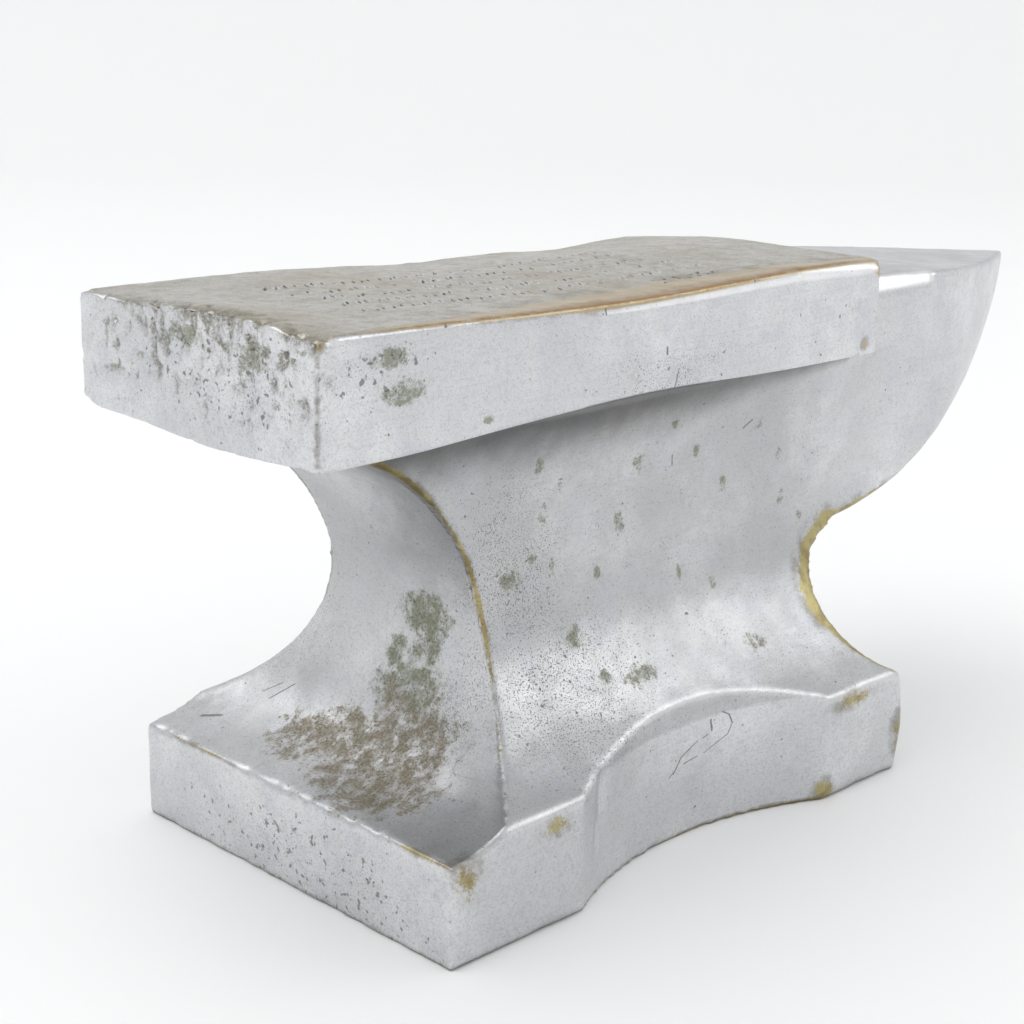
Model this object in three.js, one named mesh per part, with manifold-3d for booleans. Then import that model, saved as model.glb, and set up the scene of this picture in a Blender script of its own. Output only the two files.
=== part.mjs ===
// A small bench anvil, built up from separate pieces as a smith's anvil is: a
// waisted core, four corner feet, a heel, a table with its horn, and a thick
// slab on top that carries the working face. Nothing on it moves.
//
// Millimetres. X runs from the heel end to the tip of the horn, Y runs across
// the face, Z is up and the floor is Z = 0. The outlines below measure X from
// the heel end of the slab, and the finished pieces are shifted along X so
// that the origin lies under the middle of the overall length.

import * as THREE from 'three';
import { mergeVertices } from 'three/addons/utils/BufferGeometryUtils.js';
import Module from 'manifold-3d';

// ---- Driving dimensions ----

// Face slab
const faceHeight = 50;
const faceLength = 68.5;
const faceWidth = 29.6;
const faceThickness = 9.25;
const faceEdgeRadius = 0.8;

// Base and its feet
const baseSetback = 8.3; // heel end of the slab to the heel end of the base
const baseReach = 0.2; // the base's horn end stands this far past the slab's
const baseWidth = 41;
const baseCornerRadius = 1.5; // plan radius of the four corners
const heelToeHeight = 8.9; // end wall of the base under the heel
const hornToeHeight = 9.8; // end wall of the base under the horn
const sideToeHeight = 10.3; // side wall of the base
const heelFootLength = 14.7;
const hornFootLength = 11.9;
const scallopDepth = 4.2; // hollow in plan between the feet

// Waist, seen from the end
const waistWidth = 19.2;
const waistLow = 27; // the waist is straight between these two heights
const waistHigh = 32;
const shoulderHeight = 0.6; // straight wall above the upper flare
const tableWidth = 24;

// Throats, seen from the side
const heelThroatDepth = 13; // measured in from the heel end of the base
const heelThroatHeight = 22.2;
const heelReach = 2.5; // where the throat runs out into the slab's underside
const hornThroatDepth = 4.5; // measured in from the horn end of the base
const hornThroatLow = 15.5; // its wall is straight between these two heights
const hornThroatHigh = 16.5;
const hornRootHeight = 22.3; // underside of the horn where it leaves the core

// How far each hollow has turned from upright, in degrees, where it runs out
const throatTurn = 75;
const heelToeTurn = 88;
const lowerFlareTurn = 60;
const upperFlareTurn = 45;

// Table and horn
const tableDrop = 2.25; // step down from the face to the table
const tableLength = 12.5;
const hornLength = 32.85;
const hornFall = 2.8; // fall of the top from the table's step to the tip
const planCurve = 1.53; // how late the plan draws in towards the tip
const keelCurve = 1.6; // how late the underside rises towards the tip
const keelBluntness = 0.75; // below 1 the tip is blunt, as a ship's bow is
const rootSquareness = 8; // exponent of the section: high is square, 2 is an ellipse
const tipSquareness = 2.8;

// Joints
const seam = 0.3; // gap between neighbouring pieces
const footSeamY = 10; // the feet lie outside this distance from the middle
const footSeamHeight = 14; // and below this height
const heelSeamHeight = 30; // the heel lies above this height

// ---- Dimensions that follow ----

const bodyTop = faceHeight - faceThickness - seam;
const baseEnd = faceLength + baseReach;
const heelFootEnd = baseSetback + heelFootLength;
const hornFootStart = baseEnd - hornFootLength;
const hornStart = faceLength + seam;
const overallLength = hornStart + tableLength + hornLength;
const tableTop = faceHeight - tableDrop;

// ---- Solids and outlines ----

const wasm = await Module();
wasm.setup();

// A closed three.js geometry as a solid that can be cut and joined.
function toSolid(geometry) {
  const bare = geometry.index ? geometry.toNonIndexed() : geometry.clone();
  bare.deleteAttribute('normal');
  bare.deleteAttribute('uv');
  const merged = mergeVertices(bare, 1e-4);
  return new wasm.Manifold(new wasm.Mesh({
    numProp: 3,
    vertProperties: new Float32Array(merged.attributes.position.array),
    triVerts: new Uint32Array(merged.index.array),
  }));
}

// A solid as three.js geometry.
function toGeometry(solid) {
  const mesh = solid.getMesh();
  const geometry = new THREE.BufferGeometry();
  geometry.setAttribute('position', new THREE.BufferAttribute(mesh.vertProperties, 3));
  geometry.setIndex(new THREE.BufferAttribute(mesh.triVerts, 1));
  geometry.computeVertexNormals();
  return geometry;
}

// An outline of points, or a shape with curves, carried straight along its own Z.
function prism(outline, depth) {
  const shape = Array.isArray(outline) ? new THREE.Shape(outline) : outline;
  return new THREE.ExtrudeGeometry(shape, { depth, bevelEnabled: false, curveSegments: 4 });
}

// A side elevation (drawn as X, Z) carried across the width.
function extrudeAcross(outline, width) {
  const geometry = prism(outline, width);
  geometry.rotateX(Math.PI / 2);
  geometry.translate(0, width / 2, 0);
  return toSolid(geometry);
}

// An end elevation (drawn as Y, Z) carried along the length.
function extrudeAlong(outline, start, end) {
  const geometry = prism(outline, end - start);
  const turn = new THREE.Matrix4().makeBasis(
    new THREE.Vector3(0, 1, 0),
    new THREE.Vector3(0, 0, 1),
    new THREE.Vector3(1, 0, 0),
  );
  geometry.applyMatrix4(turn);
  geometry.translate(start, 0, 0);
  return toSolid(geometry);
}

// A plan (drawn as X, Y) carried up from one height to another.
function extrudeUp(outline, bottom, top) {
  const geometry = prism(outline, top - bottom);
  geometry.translate(0, 0, bottom);
  return toSolid(geometry);
}

// A box between two corners.
function block(x0, x1, y0, y1, z0, z1) {
  const geometry = new THREE.BoxGeometry(x1 - x0, y1 - y0, z1 - z0);
  geometry.translate((x0 + x1) / 2, (y0 + y1) / 2, (z0 + z1) / 2);
  return toSolid(geometry);
}

// A hollow stretch that leaves `upright` vertically and has turned by
// `turnDegrees` where it reaches `end`: part of an ellipse.
function hollow(upright, end, turnDegrees, steps) {
  const turn = THREE.MathUtils.degToRad(turnDegrees);
  const points = [];
  for (let i = 0; i <= steps; i += 1) {
    const angle = (turn * i) / steps;
    const out = (1 - Math.cos(angle)) / (1 - Math.cos(turn));
    const along = Math.sin(angle) / Math.sin(turn);
    points.push(new THREE.Vector2(
      THREE.MathUtils.lerp(upright.x, end.x, out),
      THREE.MathUtils.lerp(upright.y, end.y, along),
    ));
  }
  return points;
}

// A rectangle with four rounded corners.
function roundedRectangle(x0, x1, y0, y1, radius) {
  const shape = new THREE.Shape();
  shape.absarc(x1 - radius, y0 + radius, radius, -Math.PI / 2, 0);
  shape.absarc(x1 - radius, y1 - radius, radius, 0, Math.PI / 2);
  shape.absarc(x0 + radius, y1 - radius, radius, Math.PI / 2, Math.PI);
  shape.absarc(x0 + radius, y0 + radius, radius, Math.PI, Math.PI * 1.5);
  shape.closePath();
  return shape;
}

// ---- The waisted body that the core, feet and heel are cut from ----

// Side elevation: base, throat under the horn, flat top, throat under the heel.
function sideElevation() {
  const heelEdge = new THREE.Vector2(heelReach, bodyTop);
  const heelToe = new THREE.Vector2(baseSetback, heelToeHeight);
  const hornToe = new THREE.Vector2(baseEnd, hornToeHeight);
  const hornRoot = new THREE.Vector2(faceLength, hornRootHeight);
  const heelThroat = new THREE.Vector2(baseSetback + heelThroatDepth, heelThroatHeight);
  const throatFoot = new THREE.Vector2(baseEnd - hornThroatDepth, hornThroatLow);
  const throatHead = new THREE.Vector2(baseEnd - hornThroatDepth, hornThroatHigh);
  return [
    new THREE.Vector2(baseSetback, 0),
    new THREE.Vector2(baseEnd, 0),
    ...hollow(throatFoot, hornToe, throatTurn, 8).reverse(),
    ...hollow(throatHead, hornRoot, throatTurn, 8),
    new THREE.Vector2(faceLength, bodyTop),
    ...hollow(heelThroat, heelEdge, throatTurn, 12).reverse(),
    ...hollow(heelThroat, heelToe, heelToeTurn, 12).slice(1),
  ];
}

// End elevation: the side walls of the base, the flares and the waist, with
// straight walls from the top of the flare to `top`.
function endElevation(top) {
  const toe = new THREE.Vector2(baseWidth / 2, sideToeHeight);
  const waistFoot = new THREE.Vector2(waistWidth / 2, waistLow);
  const waistHead = new THREE.Vector2(waistWidth / 2, waistHigh);
  const shoulder = new THREE.Vector2(tableWidth / 2, bodyTop - shoulderHeight);
  const half = [
    new THREE.Vector2(baseWidth / 2, 0),
    ...hollow(waistFoot, toe, lowerFlareTurn, 10).reverse(),
    ...hollow(waistHead, shoulder, upperFlareTurn, 6),
    new THREE.Vector2(tableWidth / 2, top),
  ];
  const mirrored = half.map((point) => new THREE.Vector2(-point.x, point.y)).reverse();
  return [...half, ...mirrored];
}

// The hollow in plan between the feet on one long side.
function scallop(side) {
  const chord = hornFootStart - heelFootEnd;
  const radius = (chord * chord / 4 + scallopDepth * scallopDepth) / (2 * scallopDepth);
  const geometry = new THREE.CylinderGeometry(radius, radius, faceHeight * 2, 96);
  geometry.rotateX(Math.PI / 2);
  const middle = side * (baseWidth / 2 - scallopDepth + radius);
  geometry.translate((heelFootEnd + hornFootStart) / 2, middle, 0);
  return toSolid(geometry);
}

function waistedBody() {
  const reach = overallLength;
  const plan = roundedRectangle(baseSetback, baseEnd, -baseWidth / 2, baseWidth / 2, baseCornerRadius);
  const basePlan = extrudeUp(plan, -1, footSeamHeight);
  const above = block(-1, reach, -baseWidth, baseWidth, footSeamHeight, faceHeight);
  return extrudeAcross(sideElevation(), baseWidth)
    .intersect(extrudeAlong(endElevation(bodyTop), -1, reach))
    .intersect(basePlan.add(above))
    .subtract(scallop(1))
    .subtract(scallop(-1));
}

// ---- The pieces ----

const body = waistedBody();

// One corner foot: `margin` widens the cut that the core leaves for it.
function footBlock(atHeel, side, margin) {
  const x0 = atHeel ? baseSetback - 1 : hornFootStart - margin;
  const x1 = atHeel ? heelFootEnd + margin : baseEnd + 1;
  const inner = footSeamY - margin;
  const outer = baseWidth / 2 + 1;
  const y0 = side > 0 ? inner : -outer;
  const y1 = side > 0 ? outer : -inner;
  return block(x0, x1, y0, y1, -1, footSeamHeight + margin);
}

function heelBlock(margin) {
  return block(-1, heelFootEnd + margin, -baseWidth, baseWidth, heelSeamHeight - margin, faceHeight);
}

function corePiece() {
  let core = body.subtract(heelBlock(seam));
  for (const atHeel of [true, false]) {
    for (const side of [1, -1]) core = core.subtract(footBlock(atHeel, side, seam));
  }
  return core;
}

// The slab is one section with rounded long edges, carried along its length.
function facePlate() {
  const section = roundedRectangle(
    -faceWidth / 2,
    faceWidth / 2,
    faceHeight - faceThickness,
    faceHeight,
    faceEdgeRadius,
  );
  return extrudeAlong(section.getPoints(3), 0, faceLength);
}

// The table and horn: upright sections along X, each flat on top and rounded
// below. The plan is straight along the table and then draws in to the tip.
function hornLoft() {
  const stations = 26;
  const around = 20;
  const crowding = 1.3; // above 1 the stations lie closer together at the tip
  const tip = overallLength;
  const span = tip - hornStart;
  const positions = [];
  const indices = [];
  for (let i = 0; i < stations; i += 1) {
    const along = 1 - (1 - i / stations) ** crowding;
    const x = hornStart + span * along;
    const past = Math.max(0, (x - hornStart - tableLength) / hornLength);
    const halfWidth = (tableWidth / 2) * (1 - past ** planCurve);
    const top = tableTop - hornFall * along;
    const depth = (tableTop - hornRootHeight) * (1 - along ** keelCurve) ** keelBluntness;
    const power = 2 / THREE.MathUtils.lerp(rootSquareness, tipSquareness, Math.sqrt(along));
    for (let j = 0; j <= around; j += 1) {
      const angle = (Math.PI * j) / around;
      const y = Math.cos(angle);
      positions.push(
        x,
        halfWidth * Math.sign(y) * Math.abs(y) ** power,
        top - depth * Math.abs(Math.sin(angle)) ** power,
      );
    }
  }
  const ring = around + 1;
  const tipIndex = stations * ring;
  positions.push(tip, 0, tableTop - hornFall);
  for (let j = 0; j < ring; j += 1) {
    const next = (j + 1) % ring;
    for (let i = 0; i < stations - 1; i += 1) {
      const a = i * ring + j;
      const b = i * ring + next;
      indices.push(a, a + ring, b, b, a + ring, b + ring);
    }
    indices.push((stations - 1) * ring + j, tipIndex, (stations - 1) * ring + next);
    if (j > 0 && j < ring - 1) indices.push(0, j, next);
  }
  const geometry = new THREE.BufferGeometry();
  geometry.setAttribute('position', new THREE.Float32BufferAttribute(positions, 3));
  geometry.setIndex(indices);
  return toSolid(geometry);
}

function hornPiece() {
  return hornLoft().intersect(extrudeAlong(endElevation(faceHeight), hornStart - 1, overallLength + 1));
}

// ---- Materials and assembly ----

function platedMetal(color) {
  return new THREE.MeshStandardMaterial({ color, roughness: 0.42, metalness: 1 });
}

const group = new THREE.Group();

function place(name, solid, color) {
  const mesh = new THREE.Mesh(toGeometry(solid), platedMetal(color));
  mesh.name = name;
  mesh.position.x = -overallLength / 2;
  group.add(mesh);
}

place('core', corePiece(), 0xb9bcc2);
place('heel', body.intersect(heelBlock(0)), 0xb4b7bd);
place('foot_heel_left', body.intersect(footBlock(true, 1, 0)), 0xb6b9bf);
place('foot_heel_right', body.intersect(footBlock(true, -1, 0)), 0xb6b9bf);
place('foot_horn_left', body.intersect(footBlock(false, 1, 0)), 0xb6b9bf);
place('foot_horn_right', body.intersect(footBlock(false, -1, 0)), 0xb6b9bf);
place('horn', hornPiece(), 0xbcbfc5);
place('face_plate', facePlate(), 0xa9aaa8);

export default group;
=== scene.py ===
"""Looks for the small bench anvil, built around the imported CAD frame.

The visible anvil is one worn, plated casting in shape, so the waisted body is
made as one fine solid and then parted where the CAD pieces meet. Lengths in
this script are millimetres from the heel end of the face until `placed` turns
them into the frame's metres.
"""
import math
import random

import bmesh
import bpy
import numpy as np
from mathutils import Matrix, Vector, noise


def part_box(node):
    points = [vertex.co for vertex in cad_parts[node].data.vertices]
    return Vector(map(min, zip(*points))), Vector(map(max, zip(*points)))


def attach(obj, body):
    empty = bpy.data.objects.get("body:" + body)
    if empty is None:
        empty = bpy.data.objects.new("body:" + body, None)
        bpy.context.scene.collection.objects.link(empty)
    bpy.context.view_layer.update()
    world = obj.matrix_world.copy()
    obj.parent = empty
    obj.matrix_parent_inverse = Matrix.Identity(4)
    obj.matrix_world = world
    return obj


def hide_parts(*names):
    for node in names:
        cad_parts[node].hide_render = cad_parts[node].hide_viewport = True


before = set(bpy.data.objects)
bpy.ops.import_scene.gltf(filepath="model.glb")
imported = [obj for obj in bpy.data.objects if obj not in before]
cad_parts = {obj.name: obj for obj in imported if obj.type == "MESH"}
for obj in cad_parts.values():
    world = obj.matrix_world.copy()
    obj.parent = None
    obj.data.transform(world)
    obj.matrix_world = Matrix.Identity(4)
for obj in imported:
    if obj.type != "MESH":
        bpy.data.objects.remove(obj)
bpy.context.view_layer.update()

MM = 0.001

# ---------------------------------------------------------------- sizes

FACE_LOW, FACE_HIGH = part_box("face_plate")
FOOT_LOW, FOOT_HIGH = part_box("foot_heel_left")
FAR_FOOT_LOW, FAR_FOOT_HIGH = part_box("foot_horn_left")
HORN_LOW, HORN_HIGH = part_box("horn")
HEEL_LOW, HEEL_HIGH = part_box("heel")
HEEL_END = FACE_LOW.x


def from_heel(x):
    """Millimetres from the heel end of the face."""
    return (x - HEEL_END) / MM


FACE_LENGTH = from_heel(FACE_HIGH.x)
FACE_HALF_WIDTH = FACE_HIGH.y / MM
FACE_TOP = FACE_HIGH.z / MM
FACE_UNDERSIDE = FACE_LOW.z / MM
BASE_START = from_heel(FOOT_LOW.x)
BASE_END = from_heel(FAR_FOOT_HIGH.x)
BASE_HALF_WIDTH = FOOT_HIGH.y / MM
SEAM = FACE_UNDERSIDE - HEEL_HIGH.z / MM
HEEL_CREASE = from_heel(FOOT_HIGH.x)
HORN_CREASE = from_heel(FAR_FOOT_LOW.x)
FOOT_SEAM_Y = FOOT_LOW.y / MM
FOOT_SEAM_HEIGHT = FOOT_HIGH.z / MM
HEEL_SEAM_HEIGHT = HEEL_LOW.z / MM
TABLE_HALF_WIDTH = HORN_HIGH.y / MM
TABLE_TOP = HORN_HIGH.z / MM
HORN_ROOT_HEIGHT = HORN_LOW.z / MM
HORN_TIP = from_heel(HORN_HIGH.x)

HEEL_TOE_HEIGHT = 8.9
HORN_TOE_HEIGHT = 9.8
SIDE_TOE_HEIGHT = 10.3
SCALLOP_DEPTH = 4.2
WAIST_HALF_WIDTH = 9.6
WAIST_LOW = 27.0
WAIST_HIGH = 32.0
SHOULDER_HEIGHT = 0.6
HEEL_THROAT = (21.3, 22.2)
HEEL_REACH = 2.5
HORN_THROAT = 64.2
HORN_THROAT_LOW = 15.5
HORN_THROAT_HIGH = 16.5
TABLE_LENGTH = 12.5
HORN_FALL = 2.8
PLAN_CURVE = 1.53
KEEL_CURVE = 1.6
KEEL_BLUNTNESS = 0.75
TOE_CORNER_RADIUS = 1.6

VOXEL = 0.36
ARRIS_ROUNDS = 5


def placed(point):
    """A point in millimetres from the heel end, in the frame's metres."""
    x, y, z = point
    return Vector((HEEL_END + x * MM, y * MM, z * MM))


# ---------------------------------------------------------------- mesh work

def new_object(name, mesh):
    made = bpy.data.objects.new(name, mesh)
    bpy.context.scene.collection.objects.link(made)
    return made


def evaluated_mesh(source):
    """The mesh that an object's modifiers give, as plain mesh data."""
    graph = bpy.context.evaluated_depsgraph_get()
    return bpy.data.meshes.new_from_object(source.evaluated_get(graph))


def settle(target):
    """Turns an object's modifiers into its own mesh."""
    mesh = evaluated_mesh(target)
    target.modifiers.clear()
    target.data = mesh
    return target


def prism(name, outline, place, start, end):
    """A closed outline carried straight from start to end; place(a, b, t) gives the point."""
    count = len(outline)
    points = [place(a, b, start) for a, b in outline] + [place(a, b, end) for a, b in outline]
    faces = [tuple(range(count)), tuple(range(2 * count - 1, count - 1, -1))]
    for i in range(count):
        j = (i + 1) % count
        faces.append((i, i + count, j + count, j))
    mesh = bpy.data.meshes.new(name)
    mesh.from_pydata([placed(p) for p in points], [], faces)
    shape = bmesh.new()
    shape.from_mesh(mesh)
    bmesh.ops.recalc_face_normals(shape, faces=shape.faces)
    bmesh.ops.triangulate(shape, faces=shape.faces)
    shape.to_mesh(mesh)
    shape.free()
    return new_object(name, mesh)


def across(name, outline, half_width):
    return prism(name, outline, lambda x, z, y: (x, y, z), -half_width, half_width)


def along(name, outline, start, end):
    return prism(name, outline, lambda y, z, x: (x, y, z), start, end)


def upward(name, outline, low, high):
    return prism(name, outline, lambda x, y, z: (x, y, z), low, high)


def box_outline(a0, a1, b0, b1):
    return [(a0, b0), (a1, b0), (a1, b1), (a0, b1)]


def combine(target, tool, operation):
    """Cuts, joins or crosses target with tool, and uses the tool up."""
    step = target.modifiers.new("combine", "BOOLEAN")
    step.operation = operation
    step.solver = "MANIFOLD"
    step.object = tool
    settle(target)
    bpy.data.objects.remove(tool)


def even_out(target, voxel_size, rounds):
    """Gives a solid an even fine mesh and rounds its arrises a little."""
    step = target.modifiers.new("even", "REMESH")
    step.mode = "VOXEL"
    step.voxel_size = voxel_size * MM
    soften = target.modifiers.new("soften", "SMOOTH")
    soften.factor = 0.5
    soften.iterations = rounds
    settle(target)


def hollow(upright, end, turn_degrees, steps):
    """Points of part of an ellipse that leaves `upright` vertically and ends at `end`."""
    turn = math.radians(turn_degrees)
    points = []
    for i in range(steps + 1):
        angle = turn * i / steps
        out = (1 - math.cos(angle)) / (1 - math.cos(turn))
        rise = math.sin(angle) / math.sin(turn)
        points.append((
            upright[0] + (end[0] - upright[0]) * out,
            upright[1] + (end[1] - upright[1]) * rise,
        ))
    return points


# ---------------------------------------------------------------- the waisted body

def heel_throat_lower():
    return hollow(HEEL_THROAT, (BASE_START, HEEL_TOE_HEIGHT), 88, 40)


def heel_throat_upper():
    return hollow(HEEL_THROAT, (HEEL_REACH, FACE_UNDERSIDE), 75, 40)


def horn_throat_lower():
    return hollow((HORN_THROAT, HORN_THROAT_LOW), (BASE_END, HORN_TOE_HEIGHT), 75, 24)


def horn_throat_upper():
    return hollow((HORN_THROAT, HORN_THROAT_HIGH), (FACE_LENGTH, HORN_ROOT_HEIGHT), 75, 24)


def side_outline():
    overlap = 1.5
    return [
        (BASE_START, 0.0),
        (BASE_END, 0.0),
        *reversed(horn_throat_lower()),
        *horn_throat_upper(),
        (FACE_LENGTH + overlap, HORN_ROOT_HEIGHT + overlap / 2),
        (FACE_LENGTH + overlap, FACE_UNDERSIDE),
        *reversed(heel_throat_upper()),
        *heel_throat_lower()[1:],
    ]


def flare_lower():
    return hollow((WAIST_HALF_WIDTH, WAIST_LOW), (BASE_HALF_WIDTH, SIDE_TOE_HEIGHT), 60, 30)


def flare_upper():
    shoulder = (TABLE_HALF_WIDTH, FACE_UNDERSIDE - SHOULDER_HEIGHT)
    return hollow((WAIST_HALF_WIDTH, WAIST_HIGH), shoulder, 45, 16)


def end_outline(top):
    half = [
        (BASE_HALF_WIDTH, 0.0),
        *reversed(flare_lower()),
        *flare_upper(),
        (TABLE_HALF_WIDTH, top),
    ]
    return half + [(-y, z) for y, z in reversed(half)]


def scallop(side):
    chord = HORN_CREASE - HEEL_CREASE
    radius = (chord ** 2 / 4 + SCALLOP_DEPTH ** 2) / (2 * SCALLOP_DEPTH)
    middle_x = (HEEL_CREASE + HORN_CREASE) / 2
    middle_y = side * (BASE_HALF_WIDTH - SCALLOP_DEPTH + radius)
    sides = 256
    ring = [
        (
            middle_x + radius * math.cos(2 * math.pi * i / sides),
            middle_y + radius * math.sin(2 * math.pi * i / sides),
        )
        for i in range(sides)
    ]
    return upward("scallop", ring, -FACE_TOP, FACE_TOP)


# ---------------------------------------------------------------- node trees

def operator(operation, swapped=False):
    def apply(self, other):
        return reckon(self.tree, operation, *((other, self) if swapped else (self, other)))
    return apply


class Wire:
    """What a node gives out, which can be reckoned with as if it were a number."""

    __add__ = __radd__ = operator("ADD")
    __mul__ = __rmul__ = operator("MULTIPLY")
    __sub__ = operator("SUBTRACT")
    __rsub__ = operator("SUBTRACT", swapped=True)
    __truediv__ = operator("DIVIDE")
    __rtruediv__ = operator("DIVIDE", swapped=True)
    __pow__ = operator("POWER")

    def __init__(self, tree, socket):
        self.tree = tree
        self.socket = socket


def plug(tree, value, socket):
    """Gives a socket a wire, another node's socket, or a plain value."""
    if isinstance(value, Wire):
        value = value.socket
    if isinstance(value, bpy.types.NodeSocket):
        tree.links.new(value, socket)
    else:
        socket.default_value = value


def reckon(tree, operation, *values, clamp=False):
    """A Math node on wires and numbers."""
    node = tree.nodes.new("ShaderNodeMath")
    node.operation = operation
    node.use_clamp = clamp
    for value, socket in zip(values, node.inputs):
        plug(tree, value, socket)
    return Wire(tree, node.outputs[0])


def gathered(tree, *values):
    """Three values as one vector."""
    node = tree.nodes.new("ShaderNodeCombineXYZ")
    for value, socket in zip(values, node.inputs):
        plug(tree, value, socket)
    return Wire(tree, node.outputs[0])


def geometry_tree(name, numbers, counts=()):
    """A Geometry Nodes tree with named inputs: numbers, whole counts and a material."""
    tree = bpy.data.node_groups.new(name, "GeometryNodeTree")
    tree.interface.new_socket("Geometry", in_out="OUTPUT", socket_type="NodeSocketGeometry")
    kinds = dict.fromkeys(numbers, "NodeSocketFloat")
    kinds.update(dict.fromkeys(counts, "NodeSocketInt"))
    kinds["Material"] = "NodeSocketMaterial"
    for label, kind in kinds.items():
        tree.interface.new_socket(label, in_out="INPUT", socket_type=kind)
    given = tree.nodes.new("NodeGroupInput")
    return tree, {label: Wire(tree, given.outputs[label]) for label in kinds}


def tree_node(tree, kind, **inputs):
    """A node with some of its inputs plugged; an underscore in a name stands for a space."""
    node = tree.nodes.new(kind)
    for label, value in inputs.items():
        plug(tree, value, node.inputs[label.replace("_", " ")])
    return node


def lead_out(tree, geometry, material):
    """Makes instances real, lays the material on them and leads them out of the tree."""
    realize = tree_node(tree, "GeometryNodeRealizeInstances", Geometry=geometry)
    paint = tree_node(tree, "GeometryNodeSetMaterial", Geometry=realize.outputs[0], Material=material)
    plug(tree, paint.outputs[0], tree.nodes.new("NodeGroupOutput").inputs[0])


def run_tree(name, tree, values):
    """Runs a tree on an empty mesh and gives the result as a plain mesh object."""
    holder = new_object(name, bpy.data.meshes.new(name))
    step = holder.modifiers.new(name, "NODES")
    step.node_group = tree
    for item in tree.interface.items_tree:
        if item.in_out == "INPUT" and item.name in values:
            step[item.identifier] = values[item.name]
    return settle(holder)


def horn_tree():
    """Upright sections along X: flat on top, a squared ellipse below, drawing in to the tip."""
    tree, size = geometry_tree("horn_rule", (
        "Start", "Length", "Straight", "Half Width", "Top", "Fall", "Depth", "Plan Curve", "Keel Curve",
        "Keel Bluntness", "Root Squareness", "Tip Squareness",
    ))
    blank = tree_node(
        tree, "GeometryNodeMeshCylinder", Vertices=96, Side_Segments=120, Radius=1.0, Depth=1.0,
    )
    blank.fill_type = "NGON"
    split = tree.nodes.new("ShaderNodeSeparateXYZ")
    plug(tree, tree.nodes.new("GeometryNodeInputPosition").outputs[0], split.inputs[0])
    side, rise, along_blank = (Wire(tree, socket) for socket in split.outputs)
    tip_crowding = 1.3  # sections lie closer together towards the tip
    run = 1.0 - (1.0 - (along_blank + 0.5)) ** tip_crowding
    x = run * size["Length"] + size["Start"]
    past = (run * size["Length"] - size["Straight"]) / (size["Length"] - size["Straight"])
    half_width = size["Half Width"] * (1.0 - reckon(tree, "MAXIMUM", past, 0.0) ** size["Plan Curve"])
    left = reckon(tree, "MAXIMUM", 1.0 - run ** size["Keel Curve"], 0.0)
    depth = size["Depth"] * left ** size["Keel Bluntness"]
    change = size["Tip Squareness"] - size["Root Squareness"]
    power = 2.0 / (change * reckon(tree, "SQRT", run) + size["Root Squareness"])
    spread = reckon(tree, "ABSOLUTE", side) ** power
    sink = reckon(tree, "ABSOLUTE", rise) ** power
    y = reckon(tree, "SIGN", side) * spread * half_width
    z = size["Top"] - run * size["Fall"] - sink * depth * reckon(tree, "LESS_THAN", rise, 0.0)
    move = tree_node(
        tree, "GeometryNodeSetPosition", Geometry=blank.outputs["Mesh"], Position=gathered(tree, x, y, z),
    )
    weld = tree_node(tree, "GeometryNodeMergeByDistance", Geometry=move.outputs[0], Distance=1e-6)
    lead_out(tree, weld.outputs[0], size["Material"])
    return tree


def horn_blank(material):
    return run_tree("horn_blank", horn_tree(), {
        "Start": placed((FACE_LENGTH, 0, 0)).x,
        "Length": (HORN_TIP - FACE_LENGTH) * MM,
        "Straight": TABLE_LENGTH * MM,
        "Half Width": TABLE_HALF_WIDTH * MM,
        "Top": TABLE_TOP * MM,
        "Fall": HORN_FALL * MM,
        "Depth": (TABLE_TOP - HORN_ROOT_HEIGHT) * MM,
        "Plan Curve": PLAN_CURVE,
        "Keel Curve": KEEL_CURVE,
        "Keel Bluntness": KEEL_BLUNTNESS,
        "Root Squareness": 8.0,
        "Tip Squareness": 2.8,
        "Material": material,
    })


def body_solid(material):
    """Base, waist, heel and horn as one solid."""
    body = across("body", side_outline(), BASE_HALF_WIDTH + 1)
    combine(body, along("ends", end_outline(FACE_UNDERSIDE), -2, HORN_TIP), "INTERSECT")
    horn = horn_blank(material)
    combine(horn, along("ends", end_outline(FACE_TOP), FACE_LENGTH - 5, HORN_TIP + 5), "INTERSECT")
    for side in (1, -1):
        combine(horn, table_chamfer(side), "DIFFERENCE")
    combine(body, horn, "UNION")
    combine(body, scallop(1), "DIFFERENCE")
    combine(body, scallop(-1), "DIFFERENCE")
    for side in (1, -1):
        combine(body, toe_corner(side), "DIFFERENCE")
    even_out(body, VOXEL, ARRIS_ROUNDS)
    push(body, cast_ripple)
    return body


def toe_corner(side):
    """What is rounded off an upright corner of the base at its horn end."""
    middle_x = BASE_END - TOE_CORNER_RADIUS
    middle_y = BASE_HALF_WIDTH - TOE_CORNER_RADIUS
    outline = [(BASE_END + 1, side * (BASE_HALF_WIDTH + 1)), (BASE_END + 1, side * middle_y)]
    for step in range(9):
        angle = math.pi / 2 * step / 8
        outline.append((
            middle_x + TOE_CORNER_RADIUS * math.cos(angle),
            side * (middle_y + TOE_CORNER_RADIUS * math.sin(angle)),
        ))
    outline.append((middle_x, side * (BASE_HALF_WIDTH + 1)))
    return upward("toe_corner", outline, -1, SIDE_TOE_HEIGHT + 4)


def table_chamfer(side):
    """The wedge planed off one long top edge of the table."""
    outline = [
        (side * (TABLE_HALF_WIDTH - 1.0), TABLE_TOP + 0.4),
        (side * (TABLE_HALF_WIDTH + 1.0), TABLE_TOP + 0.4),
        (side * (TABLE_HALF_WIDTH + 1.0), TABLE_TOP - 4.6),
    ]
    return along("chamfer", outline, FACE_LENGTH - 5, FACE_LENGTH + TABLE_LENGTH + 0.4)


# ---------------------------------------------------------------- surface shape

def hill(value, middle, reach):
    return np.exp(-((value - middle) / reach) ** 2)


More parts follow.
